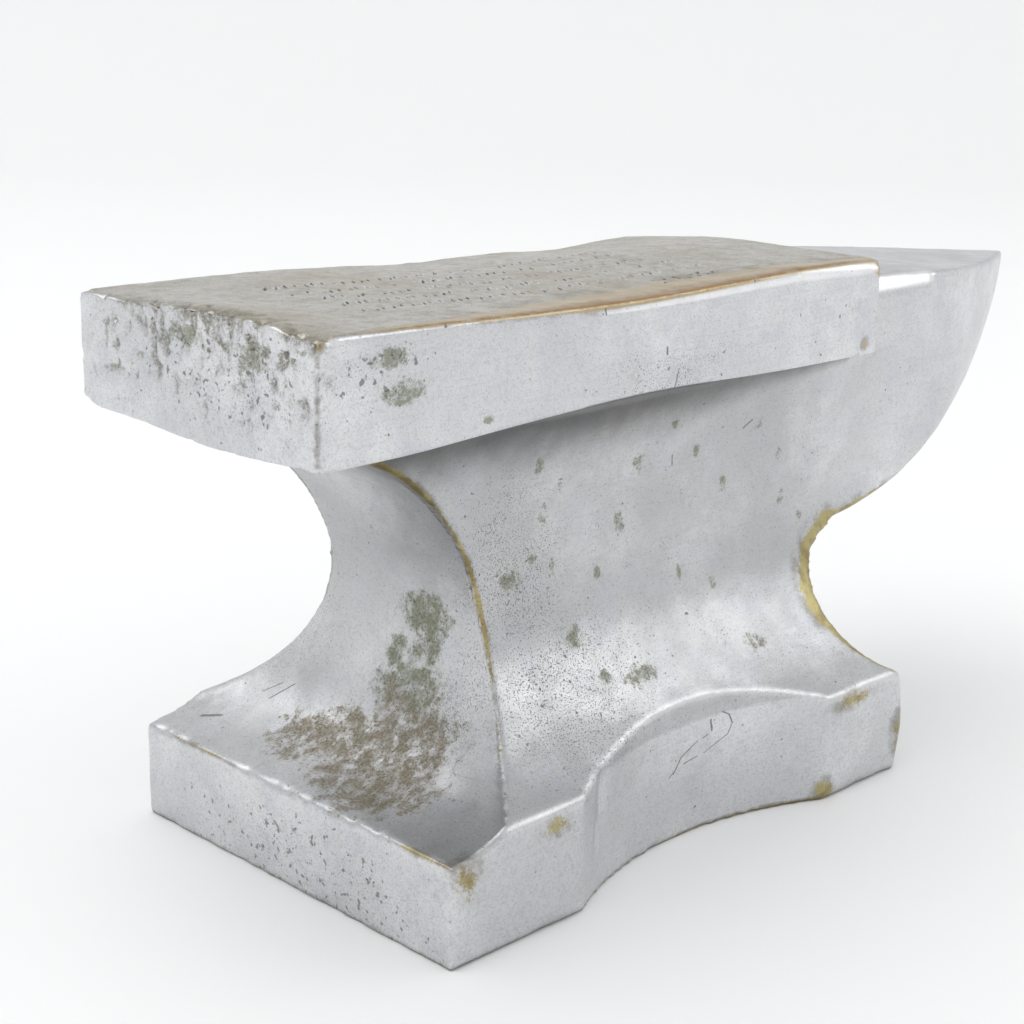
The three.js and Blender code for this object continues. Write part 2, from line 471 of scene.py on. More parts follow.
def ease(value, start, end):
    """0 before start and 1 after end, with a smooth climb between."""
    share = np.clip((value - start) / (end - start), 0, 1)
    return share * share * (3 - 2 * share)


def coordinates(mesh):
    """Vertex places as x from the heel end, y and z, all in millimetres."""
    flat = np.empty(len(mesh.vertices) * 3)
    mesh.vertices.foreach_get("co", flat)
    places = flat.reshape(-1, 3) / MM
    places[:, 0] -= HEEL_END / MM
    return places


def normals(mesh):
    flat = np.empty(len(mesh.vertices) * 3)
    mesh.vertices.foreach_get("normal", flat)
    return flat.reshape(-1, 3)


def push(target, shift):
    """Moves an object's vertices by shift(places, normals), in millimetres."""
    mesh = target.data
    places = coordinates(mesh)
    places += shift(places, normals(mesh))
    places[:, 0] += HEEL_END / MM
    mesh.vertices.foreach_set("co", (places * MM).ravel())
    mesh.update()


def ripple(places, size, seed):
    """Smooth noise between about -1 and 1 at each place, size millimetres across."""
    shift = Vector((seed * 17.3, seed * 5.1, seed * 9.7))
    return np.array([noise.noise(Vector(place) / size + shift) for place in places])


def cast_ripple(places, outward):
    """The slight unevenness of a sand casting; the sole stays flat."""
    x, _, z = places.T
    height = 0.14 * ripple(places, 9.0, 1) + 0.05 * ripple(places, 2.6, 2)
    height *= ease(z, 0.0, 1.5) * (1 - ease(z, 40.0, 40.7) * (x < FACE_LENGTH))
    height *= 1 - 0.55 * ease(x, FACE_LENGTH - 2, FACE_LENGTH + 3) * (z > 30)
    height -= sunk_by(BODY_DENTS, places)
    end_swell = 0.75 * hill(z, 5, 4) * ease(x, BASE_END - 2.5, BASE_END)
    height += end_swell * (z < 12)
    return outward * height[:, None]


# ---------------------------------------------------------------- the face slab

FAR_CORNER_RADIUS = 3.6
CORNER_RADIUS = 0.5
SLAB_VOXEL = 0.3
SLAB_ROUNDS = 3
DENT_SEED = 11


def rounded_plan(x0, x1, y0, y1, radii):
    """A rectangle in plan with its own radius at each corner, from the first corner round."""
    corners = [(x0, y0, 180), (x1, y0, 270), (x1, y1, 0), (x0, y1, 90)]
    points = []
    for (x, y, start), radius in zip(corners, radii):
        middle_x = x + radius if x == x0 else x - radius
        middle_y = y + radius if y == y0 else y - radius
        for step in range(9):
            angle = math.radians(start + 90 * step / 8)
            points.append((middle_x + radius * math.cos(angle), middle_y + radius * math.sin(angle)))
    return points


def face_rise(x, y):
    """Height of the worn working face over the true plane."""
    near = 0.15 - 0.6 * hill(x, 34, 20) - 0.3 * ease(x, 54, 68)
    beaten = -1.0 * ease(x, 12, 40) - 0.4 * hill(x, 54, 5)
    far = ease(y, 1.0, FACE_HALF_WIDTH) ** 1.3
    crown = 0.62 * hill(x, 0, 6) * hill(y, -4, 8)
    return near * (1 - far) + beaten * far + crown


def underside_rise(x, y):
    """The heel end bellies down, its far corner is knocked up, and the near edge wanders."""
    belly = -0.75 * hill(x, 0, 4) * hill(y, -3, 10)
    knocked = 0.85 * ease(y, 12.2, FACE_HALF_WIDTH + 0.6) * (1 - ease(x, 1, 9))
    wander = 0.05 - 0.45 * hill(x, 7, 9) + 0.6 * hill(x, 36, 14)
    return belly + knocked + wander * ease(-y, 12.2, FACE_HALF_WIDTH)


def slab_dents():
    """Dents as (middle, radii, depth): blows and drag marks on the heel end, nicks along the top edges."""
    chance = random.Random(DENT_SEED)
    dents = []
    for _ in range(70):
        middle = (0.0, chance.uniform(-13.5, 13.5), chance.triangular(41.5, 50.5, 48))
        across_radius = chance.uniform(0.25, 0.7)
        dents.append((middle, (2.0, across_radius, across_radius * chance.uniform(0.6, 2.2)),
                      chance.uniform(0.06, 0.24)))
    for _ in range(22):
        middle = (0.0, chance.uniform(-10, 12), chance.uniform(46.5, 50.2))
        radii = (2.0, chance.uniform(0.22, 0.36), chance.uniform(0.7, 2.0))
        dents.append((middle, radii, chance.uniform(0.14, 0.34)))
    for _ in range(30):
        middle = (chance.uniform(-0.2, 0.7), chance.uniform(-14, 11), FACE_TOP + 0.4)
        dents.append((middle, (0.8, chance.uniform(0.35, 0.9), 1.0), chance.uniform(0.15, 0.42)))
    for _ in range(26):
        middle = (chance.uniform(8, 66), -FACE_HALF_WIDTH, chance.choice((FACE_TOP - 0.4, FACE_UNDERSIDE)))
        dents.append((middle, (chance.uniform(0.4, 1.2), 0.7, 0.6), chance.uniform(0.05, 0.2)))
    for x in (31.0, 33.5, 36.5):
        dents.append(((x, FACE_HALF_WIDTH, FACE_TOP - 1.2), (2.0, 1.2, 1.2), 0.3))
    dents.append(((FACE_LENGTH, -FACE_HALF_WIDTH, FACE_TOP), (2.0, 1.2, 0.8), 0.2))
    dents.append(((0.0, -FACE_HALF_WIDTH, FACE_TOP), (0.8, 0.7, 0.8), 0.3))
    return dents


def body_dents():
    """Knocks on the base, as (middle, radii, depth): the creases beside the feet, and its arrises."""
    chance = random.Random(DENT_SEED + 1)
    dents = []
    for side in (-1, 1):
        dents.append(((27.2, side * 18.7, 9.0), (0.9, 1.4, 2.6), 0.42))
        dents.append(((26.3, side * 19.1, 5.5), (0.5, 1.2, 2.6), 0.2))
    for _ in range(34):
        middle = (BASE_START, chance.uniform(-20, 20), chance.choice((HEEL_TOE_HEIGHT, 0.6)))
        dents.append((middle, (0.6, chance.uniform(0.4, 1.1), 0.6), chance.uniform(0.08, 0.26)))
    for _ in range(40):
        side = chance.choice((-1, 1))
        x = chance.uniform(9, 68)
        y = side * chance.uniform(16.5, 20.5)
        middle = (x, y, chance.choice((SIDE_TOE_HEIGHT, 0.5)))
        dents.append((middle, (chance.uniform(0.4, 1.2), 1.0, 0.6), chance.uniform(0.06, 0.2)))
    return dents


def sunk_by(dents, places):
    """How deep the dents reach at each place."""
    depth = np.zeros(len(places))
    for middle, radii, deepest in dents:
        offset = (places - np.array(middle)) / np.array(radii)
        depth = np.maximum(depth, deepest * np.exp(-(offset ** 2).sum(axis=1)))
    return depth


def slab_shift(places, outward):
    """Bends the true slab to its worn face and underside, and draws its far heel corner out."""
    x, y, z = places.T
    share = (z - FACE_UNDERSIDE) / (FACE_TOP - FACE_UNDERSIDE)
    shift = np.zeros_like(places)
    shift[:, 0] = -0.3 * ease(y, 6, FACE_HALF_WIDTH) * (1 - ease(x, 1, 6))
    shift[:, 1] = 0.35 * ease(y, 8, FACE_HALF_WIDTH) * (1 - ease(x, 2, 14))
    shift[:, 2] = face_rise(x, y) * share + underside_rise(x, y) * (1 - share)
    return shift


def chipped_by(places):
    """How deep the ragged chips in the heel end reach at each place."""
    x, _, z = places.T
    ragged = ripple(places, 1.3, 9) + 0.65 * ripple(places, 0.55, 10)
    where = hill(x, 0, 1.6) * (0.45 + 0.55 * ease(z, 43.0, 47)) * (z > FACE_UNDERSIDE - 0.25)
    return 0.55 * np.maximum(ragged - 0.16, 0) * where


def slab_hammering(places, outward):
    """Chips, dents and hammering, on all of the slab but its underside away from the heel end."""
    exposed = np.maximum(ease(places[:, 2], 41.2, 42.0), ease(-places[:, 0], -1.0, 0.0))
    height = 0.06 * ripple(places, 3.4, 5) + 0.03 * ripple(places, 1.1, 6)
    height -= sunk_by(SLAB_DENTS, places) + chipped_by(places)
    return outward * (height * exposed)[:, None]


def mark_tree():
    """Rows of short chisel nicks: slim pointed blanks on a grid, each turned and moved a little by chance."""
    tree, size = geometry_tree(
        "tool_mark_rule",
        ("Length", "Width", "Mark Length", "Mark Width", "Depth", "Slant", "Kept"),
        ("Marks", "Rows", "Seed"),
    )
    grid = tree_node(
        tree, "GeometryNodeMeshGrid",
        Size_X=size["Length"], Size_Y=size["Width"], Vertices_X=size["Marks"], Vertices_Y=size["Rows"],
    )
    blank = tree_node(tree, "GeometryNodeMeshUVSphere", Segments=4, Rings=2, Radius=1.0)
    upright = tree_node(
        tree, "GeometryNodeTransform", Geometry=blank.outputs["Mesh"], Rotation=(math.radians(90), 0, 0),
    )

    def chance(kind, low, high, step):
        """A random value of its own, between low and high, for each nick."""
        node = tree.nodes.new("FunctionNodeRandomValue")
        node.data_type = kind
        used = {socket.name: socket for socket in node.inputs if socket.enabled}
        used["Min"].default_value = low
        used["Max"].default_value = high
        seed = tree.nodes.new("FunctionNodeIntegerMath")
        seed.operation = "ADD"
        seed.inputs[1].default_value = step
        plug(tree, size["Seed"], seed.inputs[0])
        plug(tree, seed.outputs[0], used["Seed"])
        return Wire(tree, next(socket for socket in node.outputs if socket.enabled))

    jitter = Vector((0.26, 0.4, 0)) * MM
    scatter = tree_node(
        tree, "GeometryNodeSetPosition",
        Geometry=grid.outputs["Mesh"], Offset=chance("FLOAT_VECTOR", -jitter, jitter, 2),
    )
    spread = tree_node(
        tree, "GeometryNodeInstanceOnPoints",
        Points=scatter.outputs[0],
        Instance=upright.outputs[0],
        Selection=reckon(tree, "LESS_THAN", chance("FLOAT", 0.0, 1.0, 1), size["Kept"]),
        Rotation=gathered(tree, 0, 0, size["Slant"] + chance("FLOAT", -0.14, 0.14, 3)),
        Scale=gathered(
            tree,
            size["Mark Width"],
            size["Mark Length"] * chance("FLOAT", 0.6, 1.2, 4),
            size["Depth"] * chance("FLOAT", 0.7, 1.2, 5),
        ),
    )
    lead_out(tree, spread.outputs[0], size["Material"])
    return tree


def mark_cutter(tree, middle, values):
    """The nicks of one patch, laid on the worn face around middle = (x, y)."""
    cutter = run_tree("tool_marks", tree, values)

    def lay(places, outward):
        x = places[:, 0] + middle[0] + HEEL_END / MM
        y = places[:, 1] + middle[1]
        shift = np.zeros_like(places)
        shift[:, 0] = middle[0] + HEEL_END / MM
        shift[:, 1] = middle[1]
        shift[:, 2] = FACE_TOP + face_rise(x, y)
        return shift

    push(cutter, lay)
    return cutter


def edge_chamfer():
    """The slip planed off the near top edge, which grows from nothing towards the horn end."""
    outline = [
        (-FACE_HALF_WIDTH - 0.5, FACE_TOP - 2.0),
        (-FACE_HALF_WIDTH + 0.6, FACE_TOP + 0.3),
        (-FACE_HALF_WIDTH - 0.5, FACE_TOP + 0.3),
    ]
    start = 30
    return prism(
        "chamfer", outline,
        lambda y, z, x: (x, y - 0.7 * (FACE_LENGTH - x) / (FACE_LENGTH - start), z),
        start, FACE_LENGTH + 1,
    )


def slab_solid(material):
    plan = rounded_plan(
        0, FACE_LENGTH, -FACE_HALF_WIDTH, FACE_HALF_WIDTH,
        (CORNER_RADIUS, CORNER_RADIUS, FAR_CORNER_RADIUS, CORNER_RADIUS * 1.4),
    )
    slab = upward("slab", plan, FACE_UNDERSIDE, FACE_TOP)
    combine(slab, edge_chamfer(), "DIFFERENCE")
    even_out(slab, SLAB_VOXEL, SLAB_ROUNDS)
    push(slab, slab_hammering)
    push(slab, slab_shift)
    tree = mark_tree()
    combine(slab, mark_cutter(tree, (31.0, -0.6), {
        "Length": 39 * MM, "Width": 12.4 * MM, "Marks": 40, "Rows": 5,
        "Mark Length": 0.85 * MM, "Mark Width": 0.2 * MM, "Depth": 0.34 * MM,
        "Slant": math.radians(-32), "Kept": 0.8, "Seed": 3, "Material": material,
    }), "DIFFERENCE")
    combine(slab, mark_cutter(tree, (45.5, -10.0), {
        "Length": 7 * MM, "Width": 1.0 * MM, "Marks": 7, "Rows": 2,
        "Mark Length": 0.55 * MM, "Mark Width": 0.3 * MM, "Depth": 0.4 * MM,
        "Slant": math.radians(-50), "Kept": 0.75, "Seed": 8, "Material": material,
    }), "DIFFERENCE")
    return slab


# ---------------------------------------------------------------- where the plating has gone, and where light and shade are painted

def throat_x(z):
    """x of the heel throat at height z."""
    outline = sorted({(b, a) for a, b in heel_throat_lower() + heel_throat_upper()})
    heights, reach = zip(*outline)
    return np.interp(z, heights, reach)


def half_width(z):
    """Half the width of the waisted body at height z."""
    outline = sorted({(b, a) for a, b in flare_lower() + flare_upper()})
    heights, reach = zip(*outline)
    return np.interp(z, heights, reach)


def keel_height(x):
    run = np.clip((x - FACE_LENGTH) / (HORN_TIP - FACE_LENGTH), 0, 1)
    depth = (TABLE_TOP - HORN_ROOT_HEIGHT) * (1 - run ** KEEL_CURVE) ** KEEL_BLUNTNESS
    return TABLE_TOP - HORN_FALL * run - depth


def scallop_y(x):
    chord = HORN_CREASE - HEEL_CREASE
    radius = (chord ** 2 / 4 + SCALLOP_DEPTH ** 2) / (2 * SCALLOP_DEPTH)
    middle = (HEEL_CREASE + HORN_CREASE) / 2
    return BASE_HALF_WIDTH - SCALLOP_DEPTH + radius - np.sqrt(radius ** 2 - (x - middle) ** 2)


# Each of these gives a line as x, y, z and half width; what is one number holds all along it.

def heel_arris(side):
    z = np.linspace(12, 40, 90)
    width = np.interp(z, (11, 14, 18, 24, 33, 37, 40), (0.10, 0.22, 0.30, 0.40, 0.42, 0.58, 0.9))
    return throat_x(z), side * half_width(z), z, width


def heel_arris_inside(side):
    """Just inside the heel arris, on the throat, where polish and dirt have caked."""
    z = np.linspace(14, 39, 80)
    width = np.interp(z, (14, 17, 30, 36, 39), (0.05, 0.14, 0.26, 0.5, 0.7))
    inward = np.interp(z, (14, 30, 36), (0.3, 0.55, 0.9))
    return throat_x(z), side * (half_width(z) - inward), z, width


def slab_corner(side):
    return 0.15, side * (FACE_HALF_WIDTH - 0.1), np.linspace(41, 49.4, 24), 0.42


def horn_arris_low(side):
    outline = horn_throat_lower()[::-1] + horn_throat_upper()
    x, z = np.array(outline).T
    return x, side * half_width(z), z, np.interp(z, (11, 13.5, 16, 19, 22), (0.3, 1.0, 2.3, 2.3, 1.7))


def horn_arris_high(side):
    x = np.linspace(FACE_LENGTH, 86, 60)
    z = keel_height(x) + np.interp(x, (68.5, 75, 86), (0.3, 0.6, 0.85))
    return x, side * half_width(z), z, np.interp(x, (68.5, 72, 79, 86), (1.7, 1.35, 1.0, 0.2))


def base_end_arris():
    y = np.linspace(-BASE_HALF_WIDTH, BASE_HALF_WIDTH, 120)
    return BASE_START, y, HEEL_TOE_HEIGHT, 0.16 + 0.35 * hill(y, -17.5, 4) + 0.2 * hill(y, 12, 6)


def scallop_foot(side):
    x = np.linspace(31, HORN_CREASE + 1, 90)
    width = np.interp(x, (31, 40, 56, 58), (0.1, 0.35, 0.45, 0.6))
    return x, side * scallop_y(np.minimum(x, HORN_CREASE)), 0.0, width


def face_edge(x, side, width, drop=0.0):
    """Along a long top edge of the slab, or a little below it."""
    y = side * FACE_HALF_WIDTH
    return x, y, FACE_TOP + face_rise(x, y) - drop, width


def near_face_edge():
    x = np.linspace(3, 67, 160)
    widths = (0.1, 0.9, 1.4, 2.6, 4.4, 4.8, 3.4, 1.8)
    return face_edge(x, -1, np.interp(x, (3, 6, 12, 20, 30, 42, 55, 67), widths))


def near_face_corner():
    x = np.linspace(64.0, 68.4, 20)
    return x, -FACE_HALF_WIDTH, 49.9 - (x - 64.0) * 0.17, np.interp(x, (64.0, 68.4), (0.1, 1.1))


def horn_end_edge():
    y = np.linspace(-FACE_HALF_WIDTH, -2, 40)
    width = np.interp(y, (-14.8, -9, -2), (1.6, 1.1, 0.1))
    return FACE_LENGTH, y, FACE_TOP + face_rise(FACE_LENGTH, y), width


def far_face_edge():
    x = np.linspace(22, 62, 80)
    return face_edge(x, 1, 0.35 + 0.5 * hill(x, 44, 8))


# Painted highlight along the table's chamfered top edges.
def table_edge(side):
    x = np.linspace(FACE_LENGTH, FACE_LENGTH + TABLE_LENGTH, 40)
    return x, side * (TABLE_HALF_WIDTH - 0.3), TABLE_TOP - 1.1, 1.2


# Painted highlight along the top of the base's flared sides.
def side_toe(side):
    x = np.linspace(BASE_START + 1, BASE_END - 1, 160)
    hollowed = scallop_y(np.clip(x, HEEL_CREASE, HORN_CREASE))
    y = np.where((x > HEEL_CREASE) & (x < HORN_CREASE), hollowed, BASE_HALF_WIDTH)
    y = np.minimum(y, BASE_HALF_WIDTH)
    return x, side * y, np.interp(y, *zip(*sorted(flare_lower()))), 0.55


def slab_edge_low():
    """Painted highlight below the tan strip, where the planed slip would catch the light."""
    x = np.linspace(30, 67.5, 300)
    return face_edge(x, -1, np.interp(x, (30, 67.5), (0.25, 0.75)), drop=0.75)


EVEN = (1, 1, 1)
TOP_ONLY = (1, 1, 7)
FULL = 1.0
FAINT = 0.3
# Each worn line has its points and half widths, how it is stretched, and how far it is worn.
WORN_LINES = [
    *[(heel_arris(side), EVEN, FULL) for side in (-1, 1)],
    *[(horn_arris_low(side), EVEN, FULL) for side in (-1, 1)],
    *[(horn_arris_high(side), EVEN, FULL) for side in (-1, 1)],
    *[(scallop_foot(side), EVEN, 0.6) for side in (-1, 1)],
    (base_end_arris(), EVEN, 0.6),
    ((BASE_START, -BASE_HALF_WIDTH, np.linspace(2.5, HEEL_TOE_HEIGHT, 24), 0.35), EVEN, FAINT),
    (near_face_edge(), TOP_ONLY, FULL),
    (near_face_corner(), EVEN, FULL),
    (horn_end_edge(), TOP_ONLY, FULL),
    (far_face_edge(), EVEN, FULL),
    ((10.0, -20.5, 7.4, 1.5), (1, 1, 0.8), FAINT),
    ((19.6, -20.5, 9.0, 1.3), (0.7, 1, 1.4), FAINT),
    ((60.5, -20.5, 9.3, 1.5), (0.5, 1, 1.6), FAINT),
    ((56.6, -20.3, 1.0, 1.3), EVEN, 0.45),
    ((67.9, -20.2, 4.0, 1.0), (1, 1, 0.4), FAINT),
    ((66.4, -14.8, 41.9, 0.6), EVEN, 0.5),
    ((0.5, -14.6, 49.7, 0.5), EVEN, 0.6),
]
GRIMED_LINES = [
    *[(heel_arris_inside(side), EVEN, FULL) for side in (-1, 1)],
    (slab_corner(-1), EVEN, 0.7),
    (slab_corner(1), EVEN, 0.4),
]
# Painted highlights: these lines are laid on in near white.
PAINTED_HIGHLIGHT_LINES = [
    *[(table_edge(side), EVEN, FULL) for side in (-1, 1)],
    *[(side_toe(side), EVEN, 0.5) for side in (-1, 1)],
    (slab_edge_low(), EVEN, FULL),
]
UNWORN = -2.0
STRETCH_POINTS = 24


def line_field(lines, places):
    """1 on a line worn to the full and 0 at the edge of its strip, falling away beyond."""
    field = np.full(len(places), UNWORN)
    for given, stretch, worn in lines:
        x, y, z, width = np.broadcast_arrays(*np.atleast_1d(*given))
        line = np.column_stack((x, y, z))
        for start in range(0, len(line), STRETCH_POINTS):
            part = line[start:start + STRETCH_POINTS]
            own = width[start:start + STRETCH_POINTS]
            reach = own.max() * (1 - UNWORN)
            near = np.all((places > part.min(axis=0) - reach) & (places < part.max(axis=0) + reach), axis=1)
            if not near.any():
                continue
            offset = (places[near][:, None] - part[None]) * np.array(stretch)
            share = (1 - np.sqrt((offset ** 2).sum(axis=2)) / own).max(axis=1)
            field[near] = np.maximum(field[near], np.where(share > 0, worn * share, share))
    return field


def patch_field(patches, places):
    """1 in the middle of a patch and 0 at its rim and beyond; a patch is a middle and three radii."""
    field = np.zeros(len(places))
    for middle, radii in patches:
        offset = (places - np.array(middle)) / np.array(radii)
        field = np.maximum(field, 1 - np.sqrt((offset ** 2).sum(axis=1)))
    return field


def plating_tone_and_painted_light(node, places, outward):
    """How bright a silver the plating gets: brightest on all of the slab and rising towards the horn, with
    painted light on the base's upright sides and in the heel throat, and painted shade on upward faces of the
    horn.
    """
    x, _, z = places.T
    if node == "face_plate":
        return np.ones(len(places))
    # Painted light on the base's upright sides and on heel throat faces turned to the heel end; painted shade
    # keeps upward faces darker.
    base_side = ease(-np.abs(outward[:, 2]), -0.5, -0.2) * (z < SIDE_TOE_HEIGHT + 0.5)
    throat = 0.6 * hill(z, 17, 6) * ease(-outward[:, 0], 0.3, 0.6)
    table = 1 - 0.9 * ease(outward[:, 2], 0.6, 0.9)
    return np.maximum(ease(x, 58, 80) * table, np.maximum(base_side, throat))


def painted_shade_under_slab(node, places, outward):
    """Painted shade under the slab: up to 0.7 on the slab's downward faces, and on the body 1 just under the
    slab, fading to 0 a few millimetres lower.
    """
    x, y, z = places.T
    if node == "face_plate":
        inside = (x > 2) & (np.abs(y) < FACE_HALF_WIDTH - 0.8) & (x < FACE_LENGTH - 1)
        return 0.7 * ease(-outward[:, 2], 0.8, 1.0) * inside
    reach = np.interp(x, (0, 14, 24, 34, 42, 52, 68), (6.4, 6.4, 6.6, 7.0, 6.4, 4.2, 1.8))
    return np.clip((z - FACE_UNDERSIDE + reach) / reach, 0, 1) * (x < FACE_LENGTH)


def write_attribute(mesh, name, values):
    mesh.attributes.new(name, "FLOAT", "POINT").data.foreach_set("value", values)


# Each patch is a middle, from the heel end, and three radii.
TARNISH = [
    ((13.6, -5.0, 10.4), (9.5, 14.0, 7.0)),
    ((17.0, -5.5, 13.0), (7.5, 10.5, 7.0)),
    ((19.3, -3.0, 15.6), (5.5, 8.0, 5.0)),
    ((14.2, 5.2, 10.4), (6.0, 6.5, 4.5)),
    ((15.5, 1.0, 11.5), (6.0, 8.0, 4.5)),
    ((20.7, 0.1, 18.4), (3.6, 2.2, 3.0)),
    ((21.1, -3.6, 19.8), (3.6, 3.6, 4.2)),
    ((21.3, -3.0, 22.2), (4.0, 6.4, 3.8)),
]
# Small spots down the waist: x, the body's half width there, and z.
SMALL_SPOTS = [
    (33.6, 9.7, 37.2), (44.6, 9.7, 36.6), (42.6, 9.7, 35.2), (48.4, 9.7, 33.6), (30.6, 9.7, 33.2),
    (27.4, 9.6, 27.4), (29.8, 9.6, 26.4), (35.4, 9.8, 24.6), (33.2, 13.2, 16.4), (46.0, 9.9, 22.4),
    (57.4, 9.7, 34.8), (60.8, 9.6, 31.2), (52.6, 9.7, 29.6), (64.2, 9.6, 24.6), (50.2, 10.2, 20.6),
]
FAR_SIDE_TURN = 92.0
OLIVE_SPOTS = [
    ((31.5, -11.3, 19.6), (2.6, 3.0, 2.8)),
    ((52.9, -14.1, 15.3), (3.6, 3.0, 1.6)),
    ((37.1, -13.8, 15.7), (4.2, 3.0, 1.9)),
    ((38.4, -9.6, 28.7), (1.8, 3.0, 2.0)),
    ((40.7, -9.7, 33.4), (1.8, 3.0, 2.0)),
    ((27.7, -10.0, 35.6), (1.5, 3.0, 1.8)),
    ((28.5, -10.0, 31.0), (1.6, 3.0, 2.4)),
    ((24.8, -10.0, 26.2), (2.4, 3.0, 2.2)),
    ((61.5, -9.6, 26.9), (1.2, 3.0, 1.8)),
    *[((x, -side_width, z), (0.7 + x % 0.9, 3.0, 0.7 + z % 0.8)) for x, side_width, z in SMALL_SPOTS],
    *[((FAR_SIDE_TURN - x, side_width, z), (0.7 + z % 0.9, 3.0, 0.7 + x % 0.8))
      for x, side_width, z in SMALL_SPOTS[::2]],
    ((44.0, 13.4, 16.0), (3.6, 3.0, 1.8)),
    ((30.0, 10.0, 24.0), (2.2, 3.0, 3.0)),
    ((7.0, -14.8, 48.0), (4.2, 2.0, 1.8)),
    ((8.5, -14.8, 45.2), (4.4, 2.0, 2.2)),
    ((17.0, -14.8, 42.0), (1.2, 2.0, 0.9)),
    ((0.2, -7.5, 47.8), (2.0, 4.6, 2.4)),
    ((0.2, 1.5, 48.4), (2.0, 5.0, 1.8)),
    ((1.5, -6.0, 50.3), (2.5, 6.0, 1.5)),
]
PEPPERED = [
    ((28.0, -14.0, 16.0), (14.0, 12.0, 10.0)),
    ((20.0, -9.0, 16.0), (7.0, 6.0, 9.0)),
    ((25.0, -10.0, 26.0), (9.0, 6.0, 12.0)),
    ((38.0, -14.8, 43.0), (12.0, 2.5, 4.0)),
    ((30.0, 13.0, 18.0), (18.0, 10.0, 12.0)),
    ((30.0, 14.8, 45.0), (20.0, 2.5, 5.0)),
]
CHIPPED = [
    ((0.0, -4.0, 46.0), (3.0, 17.0, 7.0)),
    ((8.3, -4.0, 2.5), (2.0, 26.0, 7.0)),
    ((6.0, -14.8, 47.0), (8.0, 2.0, 3.5)),
]
PATCHES = {"tarnish": TARNISH, "olive": OLIVE_SPOTS, "peppered": PEPPERED, "chipped": CHIPPED}


def mark_wear(node, piece):
    """Writes what wear, dirt and the painted light and shade depend on as attributes of the piece's vertices.
    """
    mesh = piece.data
    places = coordinates(mesh)
    outward = normals(mesh)
    x, y, z = places.T
    write_attribute(mesh, "wear", line_field(WORN_LINES, places))
    # Grime along the listed lines; besides, the lowest 0.65 mm of every piece is darkened.
    write_attribute(mesh, "grime_and_low_band", np.maximum(line_field(GRIMED_LINES, places), 0.5 - z / 1.3))
    write_attribute(mesh, "painted_shade_under_slab", painted_shade_under_slab(node, places, outward))
    write_attribute(mesh, "painted_highlight", line_field(PAINTED_HIGHLIGHT_LINES, places))
    write_attribute(mesh, "plating_tone_and_painted_light", plating_tone_and_painted_light(node, places, outward))
    for name, patches in PATCHES.items():
        write_attribute(mesh, name, patch_field(patches, places))
    on_slab = (z > FACE_UNDERSIDE - 0.25) & (x < FACE_LENGTH + 0.1)
    write_attribute(mesh, "sunk", (sunk_by(SLAB_DENTS, places) + chipped_by(places)) * on_slab)
    inside_face = (x > 2) & (x < FACE_LENGTH - 1.5) & (np.abs(y) < FACE_HALF_WIDTH - 1.5) & (z > FACE_TOP - 3)
    nick = np.where(inside_face, FACE_TOP + face_rise(x, y) - z - 0.12, 0)
    write_attribute(mesh, "nick", np.clip(nick * 6, 0, 1))
    write_attribute(mesh, "face", ease(outward[:, 2], 0.6, 0.9) * (z > 47))


# ---------------------------------------------------------------- finishes

